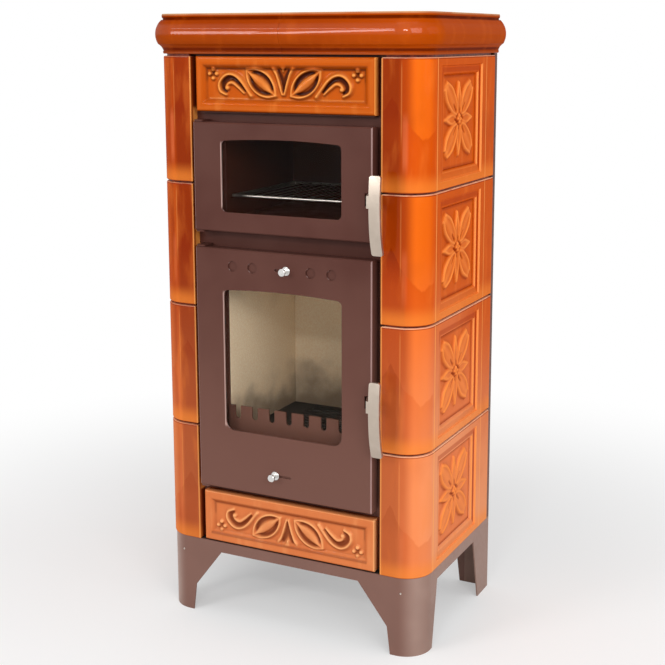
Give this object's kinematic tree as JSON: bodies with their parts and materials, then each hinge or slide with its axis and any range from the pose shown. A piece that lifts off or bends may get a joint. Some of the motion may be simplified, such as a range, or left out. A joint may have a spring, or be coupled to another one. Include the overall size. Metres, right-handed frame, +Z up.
{
  "type": "tiled wood stove with oven",
  "caption": "Upright wood stove clad in glazed relief tiles, with a glazed oven door over a glazed fire door, lever handles, sliding air controls, ash drawer and rear flue collar.",
  "frame": {"origin": "centre of the footprint of the whole object on the floor, between handle fronts and flue end", "axes": "+Z up, -Y towards the user (the doors' side), +X to the user's right, where the handles are"},
  "size_m": [0.5586, 0.435, 1.12],
  "materials": {
    "glaze": "gloss",
    "joint_cord": "matte",
    "brown_paint": "satin",
    "black_paint": "matte",
    "enamel": "satin",
    "plated_steel": "satin",
    "cast_iron": "matte",
    "lining": "matte",
    "door_glass": "polished",
    "seal_rope": "matte",
    "handle_metal": "satin",
    "knob_metal": "polished"
  },
  "bodies": {
    "stove": {"crown_right": "glaze", "crown_left": "glaze", "relief_tile_top": "glaze", "relief_tile_bottom": "glaze", "corner_tile_right_1": "glaze", "corner_tile_right_2": "glaze", "corner_tile_right_3": "glaze", "corner_tile_right_4": "glaze", "corner_tile_left_1": "glaze", "corner_tile_left_2": "glaze", "corner_tile_left_3": "glaze", "corner_tile_left_4": "glaze", "joint_cords_right": "joint_cord", "joint_cords_left": "joint_cord", "base_skirt": "brown_paint", "face_frame": "brown_paint", "rear_casing": "brown_paint", "cover_plate": "brown_paint", "log_guard": "brown_paint", "oven_hinge_brackets": "brown_paint", "fire_hinge_brackets": "brown_paint", "oven_keeper": "brown_paint", "fire_keeper": "brown_paint", "base_plate": "black_paint", "smoke_wall_right": "black_paint", "smoke_wall_left": "black_paint", "smoke_wall_back": "black_paint", "smoke_roof": "black_paint", "ash_floor": "black_paint", "flue_collar": "black_paint", "oven_box": "enamel", "ash_drawer": "plated_steel", "oven_rack": "plated_steel", "hearth_plate": "cast_iron", "grate": "cast_iron", "firebrick_right": "lining", "firebrick_left": "lining", "firebrick_back": "lining", "baffle": "lining"},
    "oven_door": {"oven_door_panel": "brown_paint", "oven_door_glass": "door_glass", "oven_door_seal": "seal_rope", "oven_glass_clips": "black_paint", "oven_latch_bracket": "brown_paint"},
    "oven_handle": {"oven_handle": "handle_metal"},
    "fire_door": {"fire_door_panel": "brown_paint", "fire_door_glass": "door_glass", "fire_door_seal": "seal_rope", "fire_glass_clips": "black_paint", "fire_latch_bracket": "brown_paint", "air_slide_guides": "black_paint"},
    "fire_handle": {"fire_handle": "handle_metal"},
    "secondary_air": {"secondary_air_slide": "brown_paint", "secondary_air_knob": "knob_metal"},
    "primary_air": {"primary_air_slide": "black_paint", "primary_air_knob": "knob_metal"}
  },
  "joints": [
    {"name": "oven_door_hinge", "type": "hinge", "parent": "stove", "child": "oven_door", "pos_m": [-0.167, -0.1775, 0.8355], "axis": [0, 0, -1], "range_deg": [0, 120]},
    {"name": "oven_handle_pull", "type": "hinge", "parent": "oven_door", "child": "oven_handle", "pos_m": [0.1685, -0.1805, 0.811], "axis": [0, 0, -1], "range_deg": [0, 25]},
    {"name": "fire_door_hinge", "type": "hinge", "parent": "stove", "child": "fire_door", "pos_m": [-0.167, -0.1775, 0.48425], "axis": [0, 0, -1], "range_deg": [0, 120]},
    {"name": "fire_handle_pull", "type": "hinge", "parent": "fire_door", "child": "fire_handle", "pos_m": [0.1685, -0.1805, 0.461], "axis": [0, 0, -1], "range_deg": [0, 25]},
    {"name": "secondary_air_slide", "type": "slide", "parent": "fire_door", "child": "secondary_air", "axis": [-1, 0, 0], "range_m": [0, 0.021]},
    {"name": "primary_air_slide", "type": "slide", "parent": "fire_door", "child": "primary_air", "axis": [1, 0, 0], "range_m": [0, 0.03]}
  ]
}
